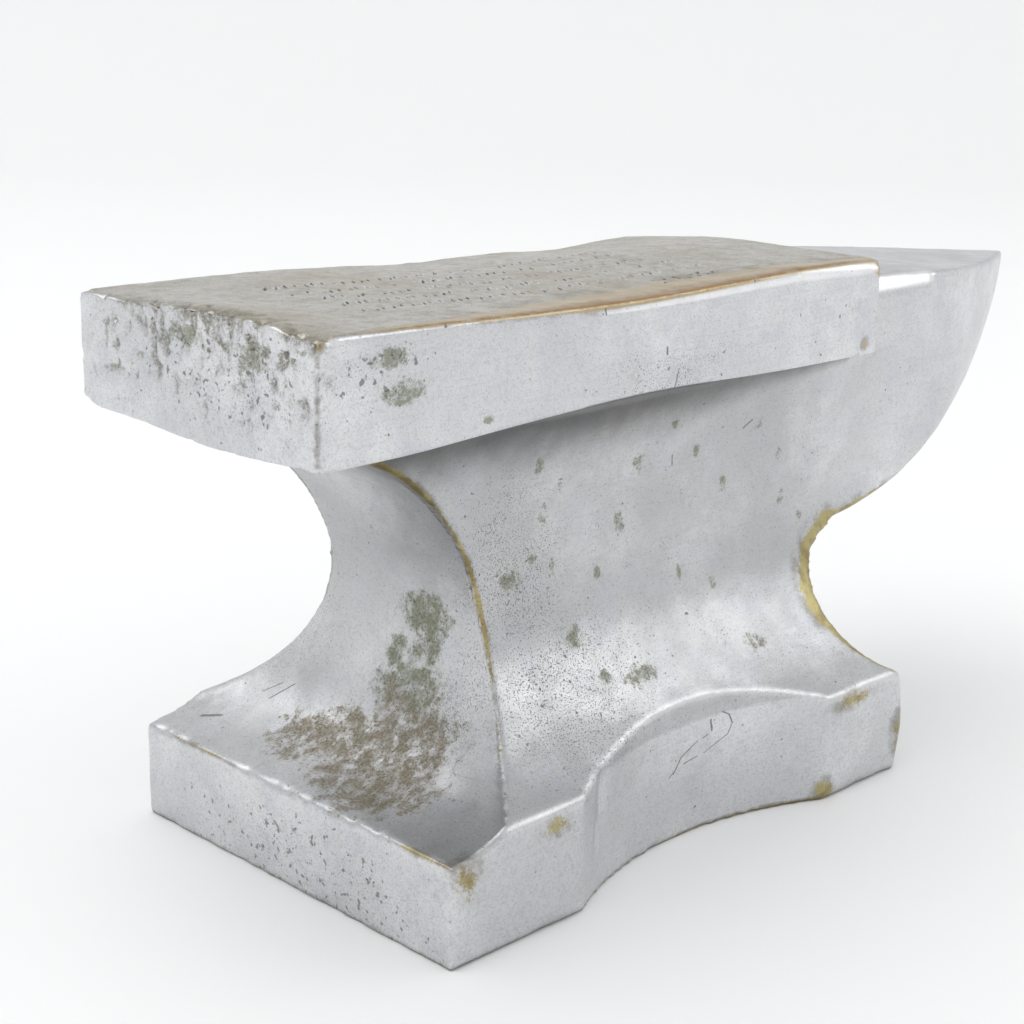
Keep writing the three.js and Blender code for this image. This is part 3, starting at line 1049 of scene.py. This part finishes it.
class Finish:
    """A metal finish, built up in millimetres on the Object coordinates."""

    def __init__(self, name):
        self.material = bpy.data.materials.new(name)
        self.material.use_nodes = True
        self.tree = self.material.node_tree
        self.shader = self.tree.nodes["Principled BSDF"]
        place = self.tree.nodes.new("ShaderNodeTexCoord").outputs["Object"]
        self.place = self.vector("SCALE", place, scale=1 / MM)

    def wire(self, socket):
        return Wire(self.tree, socket)

    def most(self, first, *others):
        """The greatest of several values."""
        for other in others:
            first = reckon(self.tree, "MAXIMUM", first, other)
        return first

    def vector(self, operation, *values, scale=None):
        node = self.tree.nodes.new("ShaderNodeVectorMath")
        node.operation = operation
        for value, socket in zip(values, node.inputs):
            plug(self.tree, value, socket)
        if scale is not None:
            plug(self.tree, scale, node.inputs["Scale"])
        single = operation in ("DOT_PRODUCT", "DISTANCE")
        return self.wire(node.outputs["Value" if single else "Vector"])

    def attribute(self, name):
        node = self.tree.nodes.new("ShaderNodeAttribute")
        node.attribute_name = name
        return self.wire(node.outputs["Fac"])

    def ease(self, value, low, high, start=0.0, end=1.0):
        """Climbs smoothly from start, where value is low, to end, where it is high."""
        node = self.tree.nodes.new("ShaderNodeMapRange")
        node.interpolation_type = "SMOOTHSTEP"
        for given, socket in zip((value, low, high, start, end), node.inputs):
            plug(self.tree, given, socket)
        return self.wire(node.outputs["Result"])

    def noise(self, size, detail=2.0, rough=0.5, place=None):
        node = tree_node(
            self.tree, "ShaderNodeTexNoise",
            Vector=place or self.place, Scale=1 / size, Detail=detail, Roughness=rough,
        )
        return self.wire(node.outputs["Fac"])

    def sway(self, size, amount, detail=2.0, rough=0.5):
        """Noise of about plus or minus amount."""
        return (self.noise(size, detail, rough) - 0.5) * (amount * 3)

    def pits(self, spacing, largest, share):
        """Round pits; share, from 0 to 1, is how many of the possible ones there are."""
        cells = tree_node(self.tree, "ShaderNodeTexVoronoi", Vector=self.place, Scale=1 / spacing)
        luck = tree_node(self.tree, "ShaderNodeSeparateColor", Color=cells.outputs["Color"])
        growth = reckon(self.tree, "MULTIPLY", share - self.wire(luck.outputs[0]), 4.0, clamp=True)
        inside = growth * (largest / spacing) - self.wire(cells.outputs["Distance"])
        return self.ease(inside, 0.0, 0.5 * largest / spacing)

    def specks(self, size, crowd):
        """Small uneven specks; crowd, from 0 to 1, is how thickly they lie."""
        above = self.noise(size, 1.5) - self.ease(crowd, 0.0, 1.0, 0.74, 0.54)
        return reckon(self.tree, "MULTIPLY", above, 16.0, clamp=True)

    def near_lines(self, lines, facing):
        """Depth into the nearest straight scratch, each a start, an end and a half width.

        Distance along the axis that the scratched side faces counts for little, because
        the metal there is uneven.
        """
        depths = []
        for start, end, scratch_half_width in lines:
            a = Vector((start[0] + HEEL_END / MM, start[1], start[2])) * facing
            run = (Vector(end) - Vector(start)) * facing
            offset = self.vector("SUBTRACT", self.vector("MULTIPLY", self.place, facing), a)
            share = self.vector("DOT_PRODUCT", offset, run / run.length_squared)
            share = reckon(self.tree, "ADD", share, 0.0, clamp=True)
            foot = self.vector("SCALE", run, scale=share)
            depths.append(1.0 - self.vector("DISTANCE", offset, foot) / scratch_half_width)
        return self.most(*depths)

    def blend(self, share, under, over):
        """Colour over laid on colour under by share."""
        node = self.tree.nodes.new("ShaderNodeMix")
        node.data_type = "RGBA"
        for given, index in ((share, 0), (under, 6), (over, 7)):
            plug(self.tree, given, node.inputs[index])
        return node.outputs[2]

    def lay(self, color, *layers):
        """Lays colours on, each by how far its value has climbed from low to high, at most by a share."""
        for value, low, high, share, over in layers:
            color = self.blend(self.ease(value, low, high, 0.0, share), color, over)
        return color


def metal_color(red, green, blue):
    """A colour without transparency."""
    return (red, green, blue, 1.0)


SILVER = metal_color(0.585, 0.585, 0.59)
SILVER_SHADE = metal_color(0.48, 0.485, 0.49)
BRIGHT_SILVER = metal_color(0.725, 0.73, 0.745)
BRIGHT_SHADE = metal_color(0.625, 0.63, 0.645)
# near white for the painted highlights
PAINTED_HIGHLIGHT_WHITE = metal_color(0.93, 0.93, 0.94)
GREY = metal_color(0.37, 0.37, 0.375)
COOL = metal_color(0.52, 0.545, 0.61)
WORKED_STEEL = metal_color(0.50, 0.49, 0.45)
WORKED_SHADE = metal_color(0.36, 0.33, 0.28)
WORKED_TAN = metal_color(0.40, 0.34, 0.26)
BRASS = metal_color(0.42, 0.36, 0.15)
BRASS_DARK = metal_color(0.29, 0.225, 0.09)
TAN = metal_color(0.48, 0.39, 0.25)
ORANGE = metal_color(0.35, 0.22, 0.09)
CHIP_DIRT = metal_color(0.21, 0.195, 0.15)
GRIME = metal_color(0.15, 0.125, 0.085)
# dark grey for the painted shade under the slab
PAINTED_SHADE_GREY = metal_color(0.13, 0.13, 0.13)
OLIVE = metal_color(0.18, 0.19, 0.11)
BROWN = metal_color(0.19, 0.155, 0.085)
CRUST = metal_color(0.075, 0.07, 0.045)
PIT_DARK = metal_color(0.10, 0.095, 0.09)

SIDE_SCRATCHES = [
    ((38.6, -16.3, 6.2), (39.6, -16.3, 6.8), 0.08),
    ((39.2, -16.3, 6.4), (40.2, -16.3, 7.7), 0.11),
    ((40.2, -16.3, 7.7), (42.3, -16.4, 8.8), 0.08),
    ((40.6, -16.3, 7.0), (42.4, -16.4, 7.3), 0.07),
    ((43.0, -16.5, 8.9), (43.6, -16.5, 9.1), 0.07),
    ((43.9, -16.6, 10.4), (44.1, -16.6, 9.4), 0.15),
    ((45.3, -16.8, 10.9), (46.1, -16.9, 10.5), 0.08),
    ((46.1, -16.9, 10.5), (46.5, -17.0, 9.6), 0.11),
    ((46.5, -17.0, 9.6), (46.0, -16.9, 8.6), 0.07),
    ((46.0, -16.9, 8.6), (43.2, -16.5, 7.4), 0.06),
    ((39.4, -14.8, 42.8), (39.0, -14.8, 41.4), 0.10),
    ((37.8, -14.8, 45.0), (37.8, -14.8, 44.5), 0.16),
    ((30.0, -14.8, 49.1), (30.1, -14.8, 48.7), 0.16),
    ((55.0, -9.8, 34.6), (56.2, -9.8, 35.2), 0.12),
    ((45.0, -9.8, 33.6), (45.1, -9.8, 32.6), 0.10),
]
END_SCRATCHES = [
    ((15.6, 12.0, 11.6), (17.6, 10.4, 13.0), 0.07),
    ((21.3, -6.0, 30.0), (21.0, -4.0, 29.0), 0.06),
    ((16.2, 13.4, 11.8), (17.3, 11.8, 12.8), 0.05),
    ((11.6, 16.8, 9.6), (12.6, 15.0, 9.9), 0.08),
]
FACING_SIDE = Vector((1.0, 0.05, 1.0))
FACING_END = Vector((0.05, 1.0, 1.0))


def silver_plate(name, worked_face=False):
    """Silver plate over cast brass: peppered with pits, tarnished in patches, rubbed through on its edges."""
    finish = Finish(name)
    broad = finish.noise(13.0, 2.0)
    cloud = finish.noise(2.8, 4.0, 0.62)
    mottle = finish.noise(0.55, 3.0, 0.65)
    grain = finish.noise(0.20, 2.0, 0.65)
    streaks = finish.noise(1.0, 2.0, 0.6, finish.vector("MULTIPLY", finish.place, (0.16, 1.0, 4.5)))
    crust = finish.noise(0.24, 3.0, 0.75)

    # Partly painted light and shade: brighter silver where faces are turned to be lit, as well as on the slab
    # and towards the horn.
    tone_and_light_share = finish.attribute("plating_tone_and_painted_light")
    bright = finish.blend(tone_and_light_share, SILVER, BRIGHT_SILVER)
    shade = finish.blend(tone_and_light_share, SILVER_SHADE, BRIGHT_SHADE)
    color = finish.lay(
        shade,
        (broad, 0.38, 0.62, 1.0, bright),
        (cloud, 0.40, 0.66, 0.55, shade),
        (finish.noise(4.5, 3.0, 0.6), 0.52, 0.68, 0.35, COOL),
        (mottle, 0.48, 0.70, 0.2, GREY),
        (grain, 0.46, 0.70, 0.4, GREY),
        (streaks, 0.52, 0.68, 0.12, GREY),
        # painted shade: darkens the band under the slab towards dark grey
        (finish.attribute("painted_shade_under_slab") + finish.sway(2.5, 0.12, 3.0), 0.0, 0.9, 0.84, PAINTED_SHADE_GREY),
    )

    bare_metal = finish.lay(BRASS, (finish.noise(1.8, 3.0, 0.6), 0.42, 0.62, 1.0, BRASS_DARK))
    worn = finish.attribute("wear") + finish.sway(1.3, 0.22, 3.0, 0.6) + finish.sway(0.22, 0.16, 2.0)
    if worked_face:
        rubbed = finish.lay(
            WORKED_STEEL,
            (finish.noise(1.1, 4.0, 0.7), 0.42, 0.66, 1.0, WORKED_SHADE),
            (broad, 0.45, 0.7, 0.5, WORKED_TAN),
            (grain, 0.44, 0.66, 0.4, GRIME),
        )
        color = finish.blend(finish.attribute("face"), color, rubbed)
        bare_metal = finish.lay(TAN, (worn, 0.5, 0.8, 1.0, ORANGE))
    rim = finish.ease(worn, -0.55, 0.02) * finish.ease(cloud, 0.42, 0.62, 0.05, 0.5)
    # darkens the grimed lines and the bottom edge of the base
    caked = finish.attribute("grime_and_low_band") + finish.sway(0.7, 0.3, 3.0, 0.6)
    color = finish.blend(rim, color, GRIME)
    color = finish.lay(color, (worn, 0.0, 0.25, 0.9, bare_metal), (caked, 0.0, 0.8, 0.8, GRIME))

    ragged = finish.sway(1.3, 0.75, 4.0, 0.72)
    ground = finish.ease(finish.attribute("tarnish"), 0.0, 0.7, -0.8, 0.32) + ragged
    olive_ground = finish.ease(finish.attribute("olive"), 0.0, 0.8, -0.95, 0.34) + ragged * 1.35
    stain = finish.most(
        finish.ease(ground, -0.1, 0.45, 0.0, 0.68),
        finish.ease(ground + (crust * 2.4 - 1.25), 0.0, 0.5, 0.0, 0.88),
        finish.ease(olive_ground, -0.05, 0.5, 0.0, 0.46),
        finish.ease(olive_ground + (crust * 2.0 - 1.05), 0.0, 0.5, 0.0, 0.72),
    )
    height_above = tree_node(finish.tree, "ShaderNodeSeparateXYZ", Vector=finish.place).outputs[2]
    greener = finish.wire(height_above) + finish.sway(3.0, 7.0, 3.0)
    stain_color = finish.lay(BROWN, (greener, 13.0, 18.0, 1.0, OLIVE), (crust, 0.52, 0.66, 0.7, CRUST))
    color = finish.blend(stain, color, stain_color)

    sunk = finish.attribute("sunk") + finish.sway(0.45, 0.16, 4.0, 0.75)
    chip_share = finish.ease(sunk, 0.07, 0.26, 0.0, 0.8) * finish.ease(crust, 0.38, 0.56, 0.3, 1.0)
    color = finish.blend(chip_share, color, CHIP_DIRT)
    # painted highlight: near white along the highlight lines
    color = finish.lay(color, (finish.attribute("painted_highlight"), 0.0, 0.7, 0.75, PAINTED_HIGHLIGHT_WHITE))

    crowd = finish.ease(finish.attribute("peppered"), 0.0, 0.8, 0.45, 0.80)
    crowd = crowd + finish.sway(4.0, 0.12, 2.0, 0.6) + tone_and_light_share * -0.13
    chipped = finish.ease(finish.attribute("chipped"), 0.0, 0.7, 0.0, 0.48)
    fine = finish.specks(0.13, crowd + chipped * 0.4)
    coarse = finish.specks(0.6, crowd * 0.35 + chipped)
    pits = finish.pits(1.6, 0.24, crowd * 0.3)
    scratch = finish.most(
        finish.near_lines(SIDE_SCRATCHES, FACING_SIDE),
        finish.near_lines(END_SCRATCHES, FACING_END),
    )
    scratch = finish.ease(scratch + finish.sway(0.3, 0.3), 0.0, 0.5, 0.0, 0.75)
    nick = finish.attribute("nick")
    dark = finish.most(fine * 0.75, coarse * 0.7, pits, scratch, nick * 0.72)
    color = finish.blend(dark, color, PIT_DARK)

    roughness = finish.ease(cloud, 0.35, 0.65, 0.29, 0.37) + stain * 0.2 + dark * 0.2
    metallic = 1.0 - finish.most(stain * 0.7, dark * 0.8)
    height = grain * 0.012 + mottle * 0.012 + cloud * 0.05 + streaks * 0.006
    height = height - finish.most(coarse, pits) * 0.05
    bump = tree_node(finish.tree, "ShaderNodeBump", Distance=MM, Strength=0.8, Height=height)
    for label, value in {
        "Base Color": color,
        "Roughness": roughness,
        "Metallic": metallic,
        "Normal": bump.outputs["Normal"],
    }.items():
        plug(finish.tree, value, finish.shader.inputs[label])
    return finish.material


# ---------------------------------------------------------------- camera, light, floor

HEIGHT = FACE_TOP
CAMERA_PLACE = (-1.6904, -2.3815, 1.5093)  # in anvil heights from the foot of the heel end
CAMERA_AZIMUTH = -44.99
CAMERA_ELEVATION = 15.69
CAMERA_ROLL = 1.03
CAMERA_LENS = 68.06


def add_camera():
    azimuth = math.radians(CAMERA_AZIMUTH)
    elevation = math.radians(CAMERA_ELEVATION)
    roll = math.radians(CAMERA_ROLL)
    back = Vector((
        math.sin(azimuth) * math.cos(elevation),
        -math.cos(azimuth) * math.cos(elevation),
        math.sin(elevation),
    ))
    level = Vector((math.cos(azimuth), math.sin(azimuth), 0))
    upright = back.cross(level)
    right = math.cos(roll) * level + math.sin(roll) * upright
    up = math.cos(roll) * upright - math.sin(roll) * level
    data = bpy.data.cameras.new("camera")
    data.lens = CAMERA_LENS
    data.sensor_width = 36
    data.clip_start = 0.005
    camera = new_object("camera", data)
    turn = Matrix((right, up, back)).transposed().to_4x4()
    spot = placed(tuple(HEIGHT * value for value in CAMERA_PLACE))
    camera.matrix_world = Matrix.Translation(spot) @ turn
    bpy.context.scene.camera = camera


def add_floor():
    """A pale sweep: flat under the anvil, curving up into a low wall all round."""
    flat_radius = 0.55
    bend_radius = 0.45
    wall_height = 0.75
    steps = 14
    profile = [(0.0, 0.0), (0.3, 0.0), (flat_radius, 0.0)]
    for step in range(1, steps + 1):
        angle = math.pi / 2 * step / steps
        profile.append((flat_radius + bend_radius * math.sin(angle), bend_radius * (1 - math.cos(angle))))
    profile.append((flat_radius + bend_radius, wall_height))
    sides = 96
    points = [(0.0, 0.0, 0.0)]
    for radius, height in profile[1:]:
        for side in range(sides):
            turn = 2 * math.pi * side / sides
            points.append((radius * math.cos(turn), radius * math.sin(turn), height))
    faces = [(0, 1 + side, 1 + (side + 1) % sides) for side in range(sides)]
    for ring in range(len(profile) - 2):
        start = 1 + ring * sides
        for side in range(sides):
            after = (side + 1) % sides
            faces.append((start + side, start + sides + side, start + sides + after, start + after))
    mesh = bpy.data.meshes.new("floor")
    mesh.from_pydata(points, [], faces)
    mesh.shade_smooth()
    floor = new_object("floor", mesh)
    paint = bpy.data.materials.new("pale_floor")
    paint.use_nodes = True
    shader = paint.node_tree.nodes["Principled BSDF"]
    shader.inputs["Base Color"].default_value = (0.88, 0.88, 0.875, 1)
    shader.inputs["Roughness"].default_value = 0.7
    mesh.materials.append(paint)


def area_light(name, place, target, size, power):
    data = bpy.data.lights.new(name, "AREA")
    data.shape = "RECTANGLE"
    data.size, data.size_y = size
    data.energy = power
    light = new_object(name, data)
    light.location = place
    direction = Vector(target) - Vector(place)
    light.rotation_euler = direction.to_track_quat("-Z", "Y").to_euler()


def add_lights():
    world = bpy.data.worlds.new("world")
    bpy.context.scene.world = world
    world.use_nodes = True
    sky = world.node_tree.nodes["Background"]
    sky.inputs["Color"].default_value = (0.97, 0.98, 1.0, 1)
    sky.inputs["Strength"].default_value = 0.86
    area_light("softbox_above", (-0.2, 0.2, 0.8), (0, 0, 0), (0.9, 0.9), 3.0)
    area_light("softbox_front", (0.42, -0.36, 0.34), (0, 0, 0.02), (0.42, 0.3), 0.38)


# ---------------------------------------------------------------- pieces

FAR = 200.0  # beyond the anvil on every side
SLIVER = 0.002 * MM
LEAST_FACES = 100


def piece_blocks():
    """The block that holds each piece but the core, as x, y and z limits."""
    margin = SEAM / 2
    blocks = {}
    for end, (x0, x1) in {
        "heel": (-FAR, HEEL_CREASE + margin),
        "horn": (HORN_CREASE - margin, FAR),
    }.items():
        for side, (y0, y1) in {
            "left": (FOOT_SEAM_Y - margin, FAR),
            "right": (-FAR, -FOOT_SEAM_Y + margin),
        }.items():
            blocks[f"foot_{end}_{side}"] = (x0, x1, y0, y1, -FAR, FOOT_SEAM_HEIGHT + margin)
    blocks["heel"] = (-FAR, HEEL_CREASE + margin, -FAR, FAR, HEEL_SEAM_HEIGHT - margin, FAR)
    blocks["horn"] = (FACE_LENGTH + margin, FAR, -FAR, FAR, HORN_THROAT_LOW, FAR)
    return blocks


def part_off(source, blocks, inside=True):
    """The part of source inside the blocks, or outside them."""
    part = new_object("part", source.data.copy())
    for x0, x1, y0, y1, z0, z1 in blocks:
        cutter = along("cutter", box_outline(y0, y1, z0, z1), x0, x1)
        combine(part, cutter, "INTERSECT" if inside else "DIFFERENCE")
    return part


def sharpen_cuts(mesh, blocks):
    """Marks the rim of every face left by a parting cut as sharp, so that the shading stays clean."""
    middles = np.empty(len(mesh.polygons) * 3)
    mesh.polygons.foreach_get("center", middles)
    facing = np.empty(len(mesh.polygons) * 3)
    mesh.polygons.foreach_get("normal", facing)
    middles = middles.reshape(-1, 3) / MM
    middles[:, 0] -= HEEL_END / MM
    facing = np.abs(facing.reshape(-1, 3))
    is_cut = np.zeros(len(middles), bool)
    for block in blocks:
        for index, limit in enumerate(block):
            axis = index // 2
            is_cut |= (facing[:, axis] > 0.9999) & (np.abs(middles[:, axis] - limit) < 1e-3)
    sizes = np.empty(len(mesh.polygons), np.int32)
    mesh.polygons.foreach_get("loop_total", sizes)
    edges = np.empty(len(mesh.loops), np.int32)
    mesh.loops.foreach_get("edge_index", edges)
    of_cut = np.bincount(edges, weights=np.repeat(is_cut, sizes), minlength=len(mesh.edges))
    sharp = np.empty(len(mesh.edges), bool)
    mesh.edges.foreach_get("use_edge_sharp", sharp)
    mesh.edges.foreach_set("use_edge_sharp", sharp | (of_cut == 1))


def clear_crumbs(mesh):
    """Closes the slivers that cutting leaves, and drops whatever hangs loose from the piece."""
    shape = bmesh.new()
    shape.from_mesh(mesh)
    bmesh.ops.remove_doubles(shape, verts=shape.verts, dist=SLIVER)
    bmesh.ops.dissolve_degenerate(shape, dist=SLIVER, edges=shape.edges)
    unseen = set(shape.faces)
    while unseen:
        group = [unseen.pop()]
        for face in group:
            joined = [edge for edge in face.edges if len(edge.link_faces) == 2]
            beside = {other for edge in joined for other in edge.link_faces} & unseen
            unseen -= beside
            group.extend(beside)
        if len(group) < LEAST_FACES:
            bmesh.ops.delete(shape, geom=group, context="FACES")
    rims = [edge for edge in shape.edges if edge.is_boundary]
    bmesh.ops.holes_fill(shape, edges=rims, sides=0)
    bmesh.ops.triangulate(shape, faces=[face for face in shape.faces if len(face.verts) > 3])
    bmesh.ops.recalc_face_normals(shape, faces=shape.faces)
    shape.to_mesh(mesh)
    shape.free()


def hand_over(node, part, finish, sharp_degrees):
    """Finishes one piece and lets it stand for its CAD node."""
    part.name = "worn_" + node
    clear_crumbs(part.data)
    mark_wear(node, part)
    part.data.materials.clear()
    part.data.materials.append(finish)
    part.data.shade_smooth()
    part.data.set_sharp_from_angle(angle=math.radians(sharp_degrees))
    sharpen_cuts(part.data, piece_blocks().values())
    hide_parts(node)
    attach(part, "root")


SLAB_DENTS = slab_dents()
BODY_DENTS = body_dents()
body_finish = silver_plate("plated_body")
feet_finish = silver_plate("plated_feet")
horn_finish = silver_plate("plated_horn")
face_finish = silver_plate("worn_face", worked_face=True)

body = body_solid(horn_finish)
blocks = piece_blocks()
for node, block in blocks.items():
    finish = {"heel": body_finish, "horn": horn_finish}.get(node, feet_finish)
    hand_over(node, part_off(body, [block]), finish, 60)
hand_over("core", part_off(body, list(blocks.values()), inside=False), body_finish, 60)
bpy.data.objects.remove(body)
hand_over("face_plate", slab_solid(face_finish), face_finish, 50)

add_camera()
add_floor()
add_lights()
bpy.context.scene.view_settings.view_transform = "Standard"
